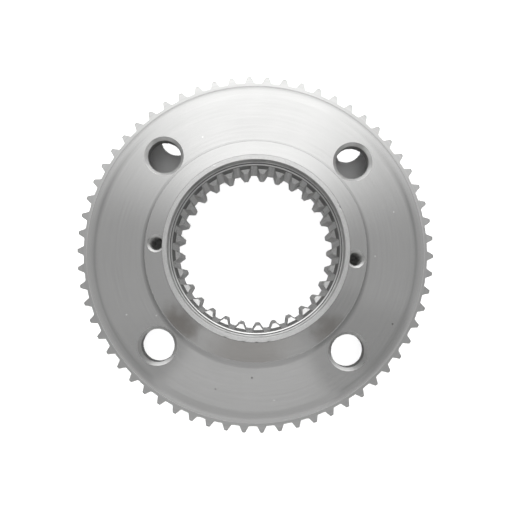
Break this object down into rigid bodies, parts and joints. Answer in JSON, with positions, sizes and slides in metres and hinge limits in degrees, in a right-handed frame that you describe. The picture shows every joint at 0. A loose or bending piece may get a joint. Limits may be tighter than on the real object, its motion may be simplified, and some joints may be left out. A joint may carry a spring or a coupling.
{
  "type": "internal ring gear hub",
  "caption": "Steel planetary ring gear hub: stub teeth round the rim, an internal spline in the collar, and a thin web with countersunk bolt holes.",
  "frame": {"origin": "middle of the flat back that the gear lies on, on the gear's axis", "axes": "+Z along the gear's axis from the back towards the collar; the four web holes lie at 45 degrees to X and Y"},
  "size_m": [0.1894, 0.1894, 0.063],
  "materials": {
    "steel": "turned and milled, bare"
  },
  "bodies": {
    "root": {"ring_gear": "steel"}
  },
  "joints": []
}
